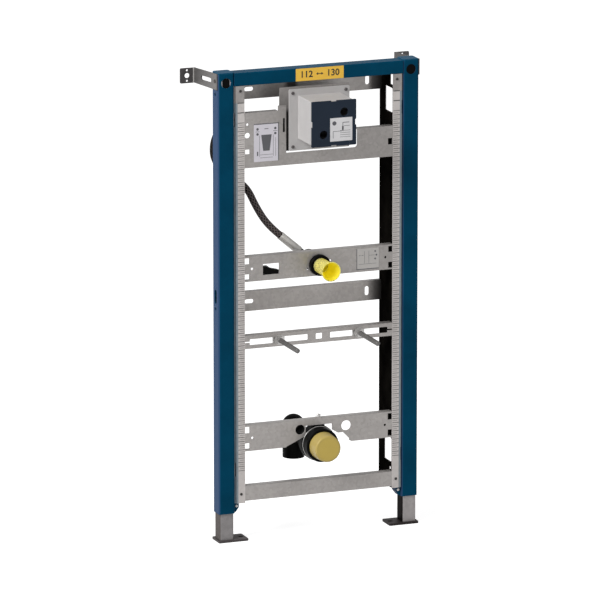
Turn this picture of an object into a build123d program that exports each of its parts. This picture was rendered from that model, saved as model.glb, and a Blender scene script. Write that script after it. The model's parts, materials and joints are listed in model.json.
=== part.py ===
from build123d import *
import math
import os

os.makedirs("parts", exist_ok=True)

# Urinal installation frame in millimetres: +X to the right, +Y back to the wall, +Z up.
# The origin is on the floor under the left leg, on the underside of its foot plate.

# Main frame
frame_height = 1120.0
frame_width = 500.0
post_side = 40.0
post_wall = 2.0
post_radius = 5.0
post_foot = 68.0
cap_plate = 3.0
cap_plug_clearance = 1.0
cap_radius = 1.2
beam_height = 31.0
beam_depth = 36.0
beam_wall = 1.5
beam_radius = 2.0
beam_drop = 2.0
link_hole_radius = 12.0
link_hole_drop = 24.0
side_hole_radius = 4.0
side_hole_drop = 52.0
side_slot_length = 34.0
side_slot_width = 12.0
side_slot_z = 588.0
side_hole_spacing = 12.0

# Fits
slide_clearance = 0.9
insert_clearance = 0.2
thread_clearance = 0.15

# Legs and feet
leg_wall = 2.0
leg_inside_post = 300.0
leg_radius = 3.0
foot_length = 74.0
foot_depth = 50.0
foot_thickness = 5.0
foot_overhang = 22.0
foot_corner = 4.0
foot_hole_radius = 6.0
foot_hole_inset = 11.0
lug_width = 12.0
lug_toe = 4.0
lug_depth = 24.0
lug_lift = 1.0

# Galvanised rails and crossbars
sheet = 2.0
bend_radius = 1.5
rail_flange = 21.5
rail_seam = 3.5
rail_bottom = 91.0
rail_depth = 84.0
rail_lip = 12.0
rail_rear_lip = 16.0
seam_setback = 5.0
seam_depth = 10.0
seam_gap = 32.0
seam_gap_top_drop = 64.0
seam_gap_bottom_rise = 65.0
window_height = 58.0
window_depth = 43.0
window_setback = 25.5
window_corner = 3.0
window_top_drop = 63.0
window_bottom_rise = 92.0
web_notch_depth = 16.0
web_notch_height = 26.0
web_hole_radius = 4.5
web_hole_setback = 12.0
web_hole_rise = 47.0
channel_depth = 18.0
end_notch_width = 11.0
end_tab_height = 24.0
end_hole_radius = 3.0
end_hole_inset = 7.0

rear_beam_height = 47.0
rear_beam_depth = 14.0
rear_beam_middle_z = 534.0
rear_beam_top_drop = 80.0
rear_slot_length = 22.0
rear_slot_width = 10.0
rear_slot_inset = 37.0

bottom_bar_z = 95.5
bottom_bar_height = 36.5
rod_rail_z = 461.0
rod_rail_height = 32.0
rod_slot_height = 14.0
rod_slot_inset = 12.0
rod_slot_corner = 2.0
rod_slit_height = 3.0
rod_bridge_width = 20.0
rod_centre_window = 16.0
flush_bar_z = 621.5
flush_bar_height = 60.5
flush_z = 648.0
flush_window_width = 40.0
flush_window_height = 26.0
flush_window_inset = 65.0
flush_hole_radius = 2.5
flush_hole_x = 28.0
flush_hole_z = 8.0
clip_overlap = 4.0
clip_width = 46.0
clip_height = 23.0
clip_tip_height = 12.0
clip_step = 5.0
clip_depth = 14.0
drain_bar_z = 215.0
drain_bar_height = 63.0
drain_z = 218.0
drain_strip = 15.0
drain_notch_base = 164.0
drain_notch_top = 66.0
drain_notch_step = 39.0
drain_notch_shoulder = 48.0
drain_notch_ledge = 13.0
drain_hole_radius = 12.0
drain_hole_left = -47.0
drain_hole_right = 68.5
drain_hole_drop = 23.0
drain_tab_width = 14.0
drain_tab_height = 5.0
drain_tab_x = -2.0
box_bar_drop = 228.0
box_bar_strip = 29.0
box_bar_left_height = 130.0
box_bar_right_height = 73.0
box_bar_notch_left = -82.0
box_bar_notch_right = 95.0
box_bar_slot_length = 34.0
box_bar_slot_width = 5.0
box_bar_slot_inset = 5.5
box_bar_slot_drop = 35.0
box_bar_tab_width = 20.0
box_bar_tab_height = 12.0
box_bar_tab_corner = 7.0
box_bar_end_inset = 7.0
box_bar_square = 11.0
box_bar_square_rise = 38.5
box_bar_round_radius = 6.5
box_bar_round_rise = 77.0
box_bar_small_rise = 103.0
box_bar_right_square_height = 15.0

# Wall brackets
bracket_gauge = 2.5
bracket_height = 36.0
bracket_drop = 13.5
bracket_front_height = 38.0
bracket_front_drop = 1.0
bracket_setback = 3.0
bracket_plate = 37.0
bracket_corner = 3.0
bracket_slot_length = 66.0
bracket_slot_width = 10.0
bracket_slot_setback = 72.0
wall_gap = 115.0
wall_hole_radius = 6.0
wall_small_radius = 2.5
wall_small_offset = 12.5

# Rough-in box
box_drop = 122.5
box_flange_width = 150.0
box_flange_height = 145.0
box_flange_thickness = 4.0
box_flange_corner = 3.0
box_body_width = 106.0
box_body_height = 104.0
box_body_rise = 5.5
box_front_draft = 0.5
box_projection = 95.0
box_wall = 3.0
box_tub_depth = 42.0
cover_thickness = 5.0
cover_width = 110.0
cover_height = 107.0
cover_corner = 1.5
cover_hole_radius = 10.0
cover_hole_x = 25.5
cover_hole_z = 25.5
cover_notch_width = 14.0
cover_notch_depth = 2.5
holder_left = -98.0
holder_top_rise = 78.0
outlet_drop = 3.5
outlet_setback = 22.0
outlet_radius = 8.5
outlet_length = 30.0

# Flush connection
collar_radius = 25.0
collar_length = 12.0
collar_chamfer = 1.5
neck_radius = 19.5
bore_radius = 15.0
bore_depth = 44.0
connector_radius = 23.0
connector_length = 68.0
inlet_setback = 55.0
inlet_radius = 8.5
inlet_length = 38.0
inlet_overlap = 5.0
plug_stem_length = 36.0
plug_radius = 18.0
plug_flare_radius = 23.5
plug_flare_length = 18.0
plug_projection = 78.0
plug_floor = 6.0
plug_wall = 2.2

# Hose between the box and the flush connection, with a crimped ferrule at each end
hose_diameter = 17.0
hose_bend_share = 0.45
ferrule_radius = 10.0
ferrule_length = 62.0
ferrule_chamfer = 0.8
hose_lead = 34.0
hose_route = [
    (123.6, 35.0, 739.0),
    (98.0, 44.0, 782.0),
    (80.0, 60.0, 830.0),
    (48.0, 92.0, 852.0),
    (17.0, 112.0, 886.0),
    (17.0, 112.0, 936.0),
    (38.0, 98.0, 974.0),
]

# Threaded rods for hanging the bowl
rod_spacing = 200.0
rod_radius = 6.0
rod_pitch_radius = 5.45
rod_projection = 121.0
rod_tail = 30.0
rod_chamfer = 1.0
rod_shoulder_gap = 0.5
nut_across_flats = 19.0
nut_height = 10.0
washer_radius = 12.0
washer_thickness = 2.5
rod_plate_width = 30.0
rod_plate_height = 27.0

# Drain
drain_collar_radius = 40.0
drain_collar_wall = 6.3
drain_collar_front = 26.0
drain_collar_back = 30.0
drain_collar_edge = 2.0
drain_pipe_radius = 22.0
drain_down_radius = 27.0
drain_pipe_wall = 3.0
drain_cap_projection = 61.0
drain_cap_wall = 3.0
drain_cap_depth = 20.0
drain_cap_draft = 2.0
drain_cap_edge = 4.0
clamp_thickness = 2.5
clamp_width = 16.0
clamp_lug_width = 30.0
clamp_lug_height = 22.0
drain_straight = 20.0
drain_knee_radius = 45.0
drain_down_x = -26.0
drain_down_setback = 98.0
drain_dome_rise = 23.0
drain_drop = 53.0
drain_spigot_radius = 26.0
drain_spigot_length = 28.0

# Derived places
left_x = 0.0
right_x = frame_width - post_side
centre_x = (left_x + right_x) / 2
front_y = -post_side / 2
wall_y = post_side / 2 + wall_gap
post_top = frame_height - cap_plate
beam_bottom = frame_height - beam_drop - beam_height
rail_top = beam_bottom
rear_beam_top_z = frame_height - rear_beam_top_drop
box_z = frame_height - box_drop
box_bar_z = frame_height - box_bar_drop
inner_face = frame_width / 2 - post_side
half_width = inner_face - rail_seam - rail_flange
clear_width = 2 * half_width
flush_window_x = flush_window_inset - half_width
leg_side = post_side - 2 * post_wall - 2 * slide_clearance
lug_height = rail_bottom - post_foot - lug_lift
sides = {"left": -1, "right": 1}
post_x = {"left": left_x, "right": right_x}

front = Plane((centre_x, front_y, 0), x_dir=(1, 0, 0), z_dir=(0, -1, 0))
section = Plane((centre_x, front_y, 0), x_dir=(0, 1, 0), z_dir=(1, 0, 0))


def save(piece, name):
    piece.part.label = name
    export_step(piece.part, f"parts/{name}.step")


def front_axis(x, z, setback=0.0):
    # A plane whose normal points forward, set back from the front face of the frame.
    return Plane((centre_x + x, front_y + setback, z), x_dir=(1, 0, 0), z_dir=(0, -1, 0))


def turned_section(z):
    # A level plane for half sections: x is the radius and y the distance in front of the frame.
    return Plane((centre_x, front_y, z), x_dir=(1, 0, 0), z_dir=(0, 0, -1))


def channel_profile(base, height, depth):
    # A channel with its web in the front plane and two lips pointing back.
    with BuildSketch(section) as profile:
        with Locations((0, base)):
            Rectangle(depth, height, align=(Align.MIN, Align.MIN))
        fillet(profile.vertices().sort_by(Axis.X)[:2], bend_radius)
        with Locations((sheet, base + sheet)):
            Rectangle(depth, height - 2 * sheet, align=(Align.MIN, Align.MIN), mode=Mode.SUBTRACT)
    return profile.sketch


def end_cuts(base, height):
    # Notches above and below the end tabs of a crossbar, and one screw hole in each tab.
    notch_height = (height - end_tab_height) / 2 - 2 * sheet
    notch_offset = (end_tab_height + notch_height) / 2
    middle = base + height / 2
    with BuildSketch(front) as cuts:
        for end in (-1, 1):
            with Locations((end * (clear_width - end_notch_width) / 2, middle)):
                with Locations((0, notch_offset), (0, -notch_offset)):
                    Rectangle(end_notch_width, notch_height)
            with Locations((end * (clear_width / 2 - end_notch_width - end_hole_inset), middle)):
                Circle(end_hole_radius)
    return cuts.sketch


# Posts with their top caps, leg lugs, legs and feet
for name, side in sides.items():
    x = post_x[name]
    outer = Plane((x + side * post_side / 2, 0, 0), x_dir=(0, 0, 1), z_dir=(side, 0, 0))

    with BuildPart() as post:
        with BuildSketch(Plane((x, 0, post_foot))):
            RectangleRounded(post_side, post_side, post_radius)
            bore_side = post_side - 2 * post_wall
            RectangleRounded(bore_side, bore_side, post_radius - post_wall, mode=Mode.SUBTRACT)
        extrude(amount=post_top - post_foot)
        with Locations(front_axis(x - centre_x, frame_height - link_hole_drop)):
            Hole(link_hole_radius, depth=post_side)
        with BuildSketch(outer):
            with Locations((frame_height - side_hole_drop, 0)):
                Circle(side_hole_radius)
            with Locations((side_slot_z, 0)):
                SlotOverall(side_slot_length, side_slot_width)
            with Locations((side_slot_z - side_slot_length / 2 - side_hole_spacing, 0)):
                Circle(side_hole_radius)
        extrude(amount=-2 * post_wall, mode=Mode.SUBTRACT)
    save(post, f"{name}_post")

    with BuildPart() as cap:
        with BuildSketch(Plane((x, 0, post_top))):
            RectangleRounded(post_side, post_side, post_radius)
        extrude(amount=cap_plate)
        fillet(cap.faces().sort_by(Axis.Z)[-1].edges(), cap_radius)
        with BuildSketch(Plane((x, 0, post_top))):
            plug_side = post_side - 2 * post_wall - 2 * insert_clearance
            RectangleRounded(plug_side, plug_side, post_radius - post_wall)
            hollow_side = plug_side - 2 * cap_plate
            RectangleRounded(hollow_side, hollow_side, post_radius - post_wall, mode=Mode.SUBTRACT)
        extrude(amount=-(link_hole_drop - link_hole_radius - cap_plate - cap_plug_clearance))
    save(cap, f"{name}_post_cap")

    with BuildPart() as lug:
        inner_foot = (x - side * post_side / 2, 0, post_foot + lug_lift)
        with BuildSketch(Plane(inner_foot, x_dir=(-side, 0, 0), z_dir=(0, side, 0))):
            with BuildLine():
                Polyline(
                    (0, 0),
                    (lug_toe, 0),
                    (lug_width, lug_height / 2),
                    (lug_width, lug_height),
                    (0, lug_height),
                    close=True,
                )
            make_face()
        extrude(amount=lug_depth / 2, both=True)
    save(lug, f"{name}_leg_lug")

    with BuildPart() as leg:
        with BuildSketch(Plane((x, 0, foot_thickness))):
            RectangleRounded(leg_side, leg_side, leg_radius)
            leg_bore = leg_side - 2 * leg_wall
            RectangleRounded(leg_bore, leg_bore, leg_radius - leg_wall / 2, mode=Mode.SUBTRACT)
        extrude(amount=post_foot + leg_inside_post - foot_thickness)
    save(leg, f"{name}_leg")

    with BuildPart() as foot:
        middle = x - side * (foot_length / 2 - foot_overhang)
        with BuildSketch(Plane((middle, 0, 0))):
            RectangleRounded(foot_length, foot_depth, foot_corner)
            with Locations((-side * (foot_length / 2 - foot_hole_inset), 0)):
                Circle(foot_hole_radius, mode=Mode.SUBTRACT)
        extrude(amount=foot_thickness)
    save(foot, f"{name}_foot_plate")

# Top beam, a flat tube between the posts
with BuildPart() as top_beam:
    with BuildSketch(section):
        with Locations((beam_depth / 2, beam_bottom + beam_height / 2)):
            RectangleRounded(beam_depth, beam_height, beam_radius)
            RectangleRounded(
                beam_depth - 2 * beam_wall, beam_height - 2 * beam_wall, beam_radius / 2, mode=Mode.SUBTRACT
            )
    extrude(amount=inner_face, both=True)
save(top_beam, "top_beam")

# Rails: front flange, deep inner web, short lips, and seam strips that join them to the posts
for name, side in sides.items():
    inner = centre_x + side * clear_width / 2
    outer_edge = inner + side * rail_flange
    web_plane = Plane((inner, front_y, 0), x_dir=(0, 1, 0), z_dir=(1, 0, 0))
    seam_levels = [
        (rail_bottom, rail_bottom + seam_gap_bottom_rise),
        (rail_bottom + seam_gap_bottom_rise + seam_gap, rail_top - seam_gap_top_drop - seam_gap),
        (rail_top - seam_gap_top_drop, rail_top),
    ]
    with BuildPart() as rail:
        with BuildSketch(Plane.XY.offset(rail_bottom)):
            with Locations(((inner + outer_edge) / 2, front_y + sheet / 2)):
                Rectangle(rail_flange, sheet)
            with Locations((inner + side * sheet / 2, front_y + rail_depth / 2)):
                Rectangle(sheet, rail_depth)
            with Locations((inner + side * rail_rear_lip / 2, front_y + rail_depth - sheet / 2)):
                Rectangle(rail_rear_lip, sheet)
            with Locations((outer_edge - side * sheet / 2, front_y + rail_lip / 2)):
                Rectangle(sheet, rail_lip)
        extrude(amount=rail_top - rail_bottom)
        with BuildSketch(web_plane):
            for level in (rail_top - window_top_drop, rail_bottom + window_bottom_rise):
                with Locations((window_setback, level)):
                    RectangleRounded(window_depth, window_height, window_corner)
            with Locations((sheet, rail_top - web_notch_height)):
                Rectangle(web_notch_depth, web_notch_height, align=(Align.MIN, Align.MIN))
            with Locations((web_hole_setback, rail_bottom + web_hole_rise)):
                Circle(web_hole_radius)
        extrude(amount=2 * sheet, both=True, mode=Mode.SUBTRACT)
        for low, high in seam_levels:
            with BuildSketch(Plane.XY.offset(low)):
                with Locations((outer_edge + side * rail_seam / 2, front_y + seam_setback + seam_depth / 2)):
                    Rectangle(rail_seam, seam_depth)
            extrude(amount=high - low)
    save(rail, f"{name}_rail")

# Rear beams between the rails' back edges, with one lying and one standing slot
for name, base in (("rear_beam_middle", rear_beam_middle_z), ("rear_beam_top", rear_beam_top_z)):
    rear = front_axis(0, 0, rail_depth - rear_beam_depth)
    slot_x = clear_width / 2 - rear_slot_inset
    slot_z = base + rear_beam_height / 2
    with BuildPart() as rear_beam:
        with BuildSketch(Plane(rear.origin, x_dir=(0, 1, 0), z_dir=(1, 0, 0))):
            with Locations((0, base)):
                Rectangle(rear_beam_depth, rear_beam_height, align=(Align.MIN, Align.MIN))
            with Locations((sheet, base + sheet)):
                Rectangle(
                    rear_beam_depth,
                    rear_beam_height - 2 * sheet,
                    align=(Align.MIN, Align.MIN),
                    mode=Mode.SUBTRACT,
                )
        extrude(amount=half_width, both=True)
        with BuildSketch(rear):
            with Locations((-slot_x, slot_z)):
                SlotOverall(rear_slot_length, rear_slot_width)
            with Locations((slot_x, slot_z)):
                SlotOverall(rear_slot_length, rear_slot_width, rotation=90)
        extrude(amount=-2 * sheet, mode=Mode.SUBTRACT)
    save(rear_beam, name)

# Bottom crossbar
with BuildPart() as bottom_crossbar:
    extrude(channel_profile(bottom_bar_z, bottom_bar_height, channel_depth), amount=half_width, both=True)
save(bottom_crossbar, "bottom_crossbar")

# Rod rail: a long slot on each side, slit open at its end, and a small window between two bridges
rod_z = rod_rail_z + rod_rail_height / 2
slot_start = rod_centre_window / 2 + rod_bridge_width
slot_end = clear_width / 2 - rod_slot_inset
with BuildPart() as rod_rail:
    extrude(channel_profile(rod_rail_z, rod_rail_height, channel_depth), amount=half_width, both=True)
    with BuildSketch(front):
        with Locations((0, rod_z)):
            RectangleRounded(rod_centre_window, rod_slot_height, rod_slot_corner)
        for end in (-1, 1):
            with Locations((end * (slot_start + slot_end) / 2, rod_z)):
                RectangleRounded(slot_end - slot_start, rod_slot_height, rod_slot_corner)
            with Locations((end * (clear_width / 2 - rod_slot_inset), rod_z)):
                Rectangle(2 * rod_slot_inset, rod_slit_height)
    extrude(amount=-2 * sheet, mode=Mode.SUBTRACT)
save(rod_rail, "rod_rail")

# Crossbar that carries the flush connection
with BuildPart() as flush_crossbar:
    extrude(channel_profile(flush_bar_z, flush_bar_height, channel_depth), amount=half_width, both=True)
    extrude(end_cuts(flush_bar_z, flush_bar_height), amount=-2 * sheet, mode=Mode.SUBTRACT)
    with BuildSketch(front):
        with Locations((0, flush_z)):
            Circle(neck_radius + insert_clearance)
            with Locations((flush_hole_x, flush_hole_z), (-flush_hole_x, -flush_hole_z)):
                Circle(flush_hole_radius)
        with Locations((flush_window_x, flush_z)):
            Rectangle(flush_window_width, flush_window_height)
    extrude(amount=-2 * sheet, mode=Mode.SUBTRACT)
save(flush_crossbar, "flush_crossbar")

# Clip behind the window of the flush crossbar, for a pipe
with BuildPart() as pipe_clip:
    clip_left = flush_window_x - flush_window_width / 2 - clip_overlap
    clip_low = flush_z - flush_window_height / 2 - clip_overlap
    with BuildSketch(front_axis(clip_left, clip_low, sheet)):
        with BuildLine():
            Polyline(
                (0, 0),
                (clip_width, 0),
                (clip_width, clip_tip_height),
                (clip_width / 2, clip_height - clip_step),
                (clip_width / 2 - clip_step, clip_height),
                (0, clip_height),
                close=True,
            )
        make_face()
    extrude(amount=-clip_depth)
save(pipe_clip, "pipe_clip")

# Crossbar that carries the drain, open below the drain collar
drain_bar_top = drain_bar_z + drain_bar_height
with BuildPart() as drain_crossbar:
    extrude(channel_profile(drain_bar_z, drain_bar_height, channel_depth), amount=half_width, both=True)
    extrude(end_cuts(drain_bar_z, drain_bar_height), amount=-2 * sheet, mode=Mode.SUBTRACT)
    ledge_z = drain_bar_top - drain_notch_step
    with BuildSketch(front):
        with BuildLine():
            Polyline(
                (-drain_notch_base / 2, drain_bar_z - sheet),
                (drain_notch_base / 2, drain_bar_z - sheet),
                (drain_notch_base / 2, drain_bar_z + sheet),
                (drain_notch_shoulder + drain_notch_ledge, ledge_z),
                (drain_notch_shoulder, ledge_z),
                (drain_notch_top / 2, drain_bar_top - 2 * drain_strip),
                (drain_notch_top / 2, drain_bar_top - drain_strip),
                (-drain_notch_top / 2, drain_bar_top - drain_strip),
                (-drain_notch_top / 2, ledge_z),
                (-drain_notch_base / 2, drain_bar_z + sheet),
                close=True,
            )
        make_face()
    extrude(amount=-channel_depth, mode=Mode.SUBTRACT)
    with BuildSketch(front):
        with Locations((drain_tab_x, drain_bar_top - drain_strip / 2)):
            Rectangle(drain_tab_width, drain_strip / 2 + drain_tab_height, align=(Align.CENTER, Align.MIN))
    extrude(amount=-sheet)
    with BuildSketch(front):
        for hole_x in (drain_hole_left, drain_hole_right):
            with Locations((hole_x, drain_bar_top - drain_hole_drop)):
                Circle(drain_hole_radius)
    extrude(amount=-2 * sheet, mode=Mode.SUBTRACT)
save(drain_crossbar, "drain_crossbar")

# Crossbar round the rough-in box: a tall left part, a lower right part and a strip below the box
left_top = box_bar_z + box_bar_left_height
right_top = box_bar_z + box_bar_right_height
strip_top = box_bar_z + box_bar_strip
tab_left = box_bar_notch_left - box_bar_tab_width
with BuildPart() as box_crossbar:
    with BuildSketch(front) as bar_face:
        with BuildLine():
            Polyline(
                (-clear_width / 2, box_bar_z),
                (clear_width / 2, box_bar_z),
                (clear_width / 2, right_top),
                (box_bar_notch_right, right_top),
                (box_bar_notch_right, strip_top),
                (box_bar_notch_left, strip_top),
                (box_bar_notch_left, left_top + box_bar_tab_height),
                (tab_left, left_top + box_bar_tab_height),
                (tab_left, left_top),
                (-clear_width / 2, left_top),
                close=True,
            )
        make_face()
        fillet(bar_face.vertices().sort_by(Axis.Z)[-2:], box_bar_tab_corner)
        with Locations((box_bar_notch_left - box_bar_slot_inset, left_top - box_bar_slot_drop)):
            SlotOverall(box_bar_slot_length, box_bar_slot_width, rotation=90, mode=Mode.SUBTRACT)
        with Locations((box_bar_end_inset - clear_width / 2, box_bar_z)):
            with Locations((0, box_bar_square_rise)):
                Rectangle(box_bar_square, box_bar_square, mode=Mode.SUBTRACT)
            with Locations((0, box_bar_round_rise)):
                Circle(box_bar_round_radius, mode=Mode.SUBTRACT)
            with Locations((0, box_bar_small_rise)):
                Circle(end_hole_radius, mode=Mode.SUBTRACT)
        with Locations((clear_width / 2 - box_bar_end_inset, box_bar_z + box_bar_right_height / 2)):
            Rectangle(box_bar_square, box_bar_right_square_height, mode=Mode.SUBTRACT)
    extrude(amount=-sheet)
    with BuildSketch(front):
        with Locations((0, box_bar_z + sheet / 2)):
            Rectangle(clear_width, sheet)
        with Locations(((tab_left - clear_width / 2) / 2, left_top - sheet / 2)):
            Rectangle(tab_left + clear_width / 2, sheet)
        with Locations(((box_bar_notch_right + clear_width / 2) / 2, right_top - sheet / 2)):
            Rectangle(clear_width / 2 - box_bar_notch_right, sheet)
    extrude(amount=-channel_depth)
save(box_crossbar, "box_crossbar")

# Wall brackets: a slotted arm on the outer side of each post, sloping to a plate on the wall
bracket_z = frame_height - bracket_drop - bracket_height
bracket_top = bracket_z + bracket_height
arm_top = frame_height - bracket_front_drop
arm_slope = math.degrees(math.atan2(bracket_top - arm_top, wall_y - front_y - bracket_setback))
bracket_middle = bracket_z + bracket_height / 2
for name, side in sides.items():
    face_x = post_x[name] + side * post_side / 2
    side_view = Plane((face_x, front_y, 0), x_dir=(0, 1, 0), z_dir=(1, 0, 0))
    plate_view = front_axis(face_x - centre_x, 0, wall_y - front_y - bracket_gauge)
    with BuildPart() as bracket:
        with BuildSketch(side_view):
            with BuildLine():
                Polyline(
                    (bracket_setback, arm_top),
                    (bracket_setback, arm_top - bracket_front_height),
                    (wall_y - front_y, bracket_z),
                    (wall_y - front_y, bracket_top),
                    close=True,
                )
            make_face()
            slot_middle = bracket_middle + (arm_top - bracket_top) / 2
            with Locations((bracket_slot_setback, slot_middle)):
                SlotOverall(bracket_slot_length, bracket_slot_width, rotation=arm_slope, mode=Mode.SUBTRACT)
        extrude(amount=side * bracket_gauge)
        with BuildSketch(plate_view) as plate:
            with Locations((side * bracket_plate / 2, bracket_middle)):
                Rectangle(bracket_plate, bracket_height)
            fillet(plate.vertices().sort_by(Axis.X)[::-side][:2], bracket_corner)
            with Locations((side * (bracket_plate + bracket_gauge) / 2, bracket_middle)):
                Circle(wall_hole_radius, mode=Mode.SUBTRACT)
                with Locations((0, wall_small_offset), (0, -wall_small_offset)):
                    Circle(wall_small_radius, mode=Mode.SUBTRACT)
        extrude(amount=-bracket_gauge)
    save(bracket, f"{name}_wall_bracket")

# Plate behind the box flange, fixed to the back of the box crossbar
holder_bottom = box_z - box_flange_height / 2
holder_top = box_z + holder_top_rise
body_z = box_z + box_body_rise
tub_width = box_body_width - 2 * box_wall
tub_height = box_body_height - 2 * box_wall
with BuildPart() as box_holder:
    with BuildSketch(front_axis(0, 0, sheet)):
        with Locations((holder_left, holder_bottom)):
            Rectangle(
                box_flange_width / 2 - holder_left, holder_top - holder_bottom, align=(Align.MIN, Align.MIN)
            )
        with Locations((0, body_z)):
            Rectangle(
                tub_width + 2 * insert_clearance, tub_height + 2 * insert_clearance, mode=Mode.SUBTRACT
            )
    extrude(amount=-sheet)
save(box_holder, "box_holder")

# Rough-in box: flange, drafted front tube, closed tub behind, and the outlet to the hose
body_length = box_projection - cover_thickness
outlet_direction = Vector(-0.8, 0.6, 0.0)
outlet_base = Vector(centre_x - tub_width / 2, front_y + outlet_setback, box_z - outlet_drop)
outlet_end = outlet_base + outlet_direction * outlet_length
with BuildPart() as rough_in_box:
    with BuildSketch(front_axis(0, box_z, sheet)):
        RectangleRounded(box_flange_width, box_flange_height, box_flange_corner)
    extrude(amount=box_flange_thickness)
    with BuildSketch(front_axis(0, body_z, sheet)):
        RectangleRounded(box_body_width, box_body_height, box_flange_corner)
    extrude(amount=body_length + sheet, taper=box_front_draft)
    with BuildSketch(front_axis(0, body_z, sheet)):
        RectangleRounded(tub_width, tub_height, box_flange_corner)
    extrude(amount=-box_tub_depth)
    with BuildSketch(front_axis(0, body_z, -body_length)):
        RectangleRounded(tub_width - 2 * box_wall, tub_height - 2 * box_wall, box_flange_corner)
    extrude(amount=-(body_length + sheet + box_tub_depth - box_wall), mode=Mode.SUBTRACT)
    with BuildSketch(Plane(outlet_base - outlet_direction * box_wall, z_dir=outlet_direction)):
        Circle(outlet_radius)
    extrude(amount=outlet_length + box_wall)
save(rough_in_box, "rough_in_box")

with BuildPart() as box_cover:
    with BuildSketch(front_axis(0, body_z, -body_length)):
        RectangleRounded(cover_width, cover_height, cover_corner)
        with Locations((0, cover_height / 2), (0, -cover_height / 2)):
            Rectangle(cover_notch_width, 2 * cover_notch_depth, mode=Mode.SUBTRACT)
        with Locations((cover_width / 2, 0), (-cover_width / 2, 0)):
            Rectangle(2 * cover_notch_depth, cover_notch_width, mode=Mode.SUBTRACT)
    extrude(amount=cover_thickness)
    with BuildSketch(front_axis(0, body_z, -box_projection)):
        with Locations((cover_hole_x, cover_hole_z), (-cover_hole_x, -cover_hole_z)):
            Circle(cover_hole_radius)
    extrude(amount=-cover_thickness, mode=Mode.SUBTRACT)
save(box_cover, "box_cover")

# Flush connection: body behind the crossbar, collar in front, plug in its bore
inlet_direction = Vector(-0.76, 0.0, 0.65)
inlet_centre = Vector(centre_x, front_y + inlet_setback, flush_z)
with BuildPart() as flush_connector:
    with BuildSketch(front_axis(0, flush_z, sheet)):
        Circle(connector_radius)
    extrude(amount=-connector_length)
    with BuildSketch(front_axis(0, flush_z, sheet)):
        Circle(neck_radius)
    extrude(amount=sheet + collar_length)
    with BuildSketch(front_axis(0, flush_z, -collar_length)):
        Circle(bore_radius)
    extrude(amount=-bore_depth, mode=Mode.SUBTRACT)
    inlet_base = inlet_centre + inlet_direction * (connector_radius - inlet_overlap)
    with BuildSketch(Plane(inlet_base, z_dir=inlet_direction)):
        Circle(inlet_radius)
    extrude(amount=inlet_length - connector_radius + inlet_overlap)
save(flush_connector, "flush_connector")

with BuildPart() as flush_collar:
    with BuildSketch(front_axis(0, flush_z)):
        Circle(collar_radius)
        Circle(neck_radius + insert_clearance, mode=Mode.SUBTRACT)
    extrude(amount=collar_length)
    chamfer(flush_collar.faces().sort_by(Axis.Y)[0].edges().sort_by(SortBy.RADIUS)[-1], collar_chamfer)
save(flush_collar, "flush_collar")

with BuildPart() as flush_plug:
    stem_radius = bore_radius - insert_clearance
    flare_start = plug_projection - plug_flare_length
    with BuildSketch(turned_section(flush_z)):
        with BuildLine():
            Polyline(
                (0, collar_length - plug_stem_length),
                (stem_radius, collar_length - plug_stem_length),
                (stem_radius, collar_length),
                (plug_radius, collar_length),
                (plug_radius, flare_start),
                (plug_flare_radius, plug_projection),
                (plug_flare_radius - plug_wall, plug_projection),
                (plug_radius - plug_wall, flare_start),
                (plug_radius - plug_wall, collar_length + plug_floor),
                (0, collar_length + plug_floor),
                close=True,
            )
        make_face()
    revolve(axis=Axis((centre_x, front_y, flush_z), (0, -1, 0)))
save(flush_plug, "flush_plug")

# Hose and ferrules
inlet_end = inlet_centre + inlet_direction * inlet_length
hose_points = [inlet_end + inlet_direction * ferrule_length]
hose_points += [Vector(*point) for point in hose_route]
hose_end = outlet_end + outlet_direction * ferrule_length
hose_points += [hose_end + outlet_direction * hose_lead, hose_end]
ferrule_ends = {
    "hose_ferrule_flush": (inlet_end, inlet_direction),
    "hose_ferrule_box": (outlet_end, outlet_direction),
}
for name, (start, direction) in ferrule_ends.items():
    with BuildPart() as ferrule:
        with BuildSketch(Plane(start, z_dir=direction)):
            Circle(ferrule_radius)
        extrude(amount=ferrule_length)
        chamfer(ferrule.edges(), ferrule_chamfer)
    save(ferrule, name)

hose_radii = []
for before, corner, after in zip(hose_points, hose_points[1:], hose_points[2:]):
    run_in = corner - before
    run_out = after - corner
    half_turn = math.radians(run_in.get_angle(run_out)) / 2
    hose_radii.append(hose_bend_share * min(run_in.length, run_out.length) / math.tan(half_turn))

with BuildPart() as flush_hose:
    with BuildLine() as hose_path:
        FilletPolyline(*hose_points, radius=hose_radii)
    with BuildSketch(Plane(hose_points[0], z_dir=hose_points[1] - hose_points[0])):
        Circle(hose_diameter / 2)
    sweep(path=hose_path.wires()[0])
save(flush_hose, "flush_hose")

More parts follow.
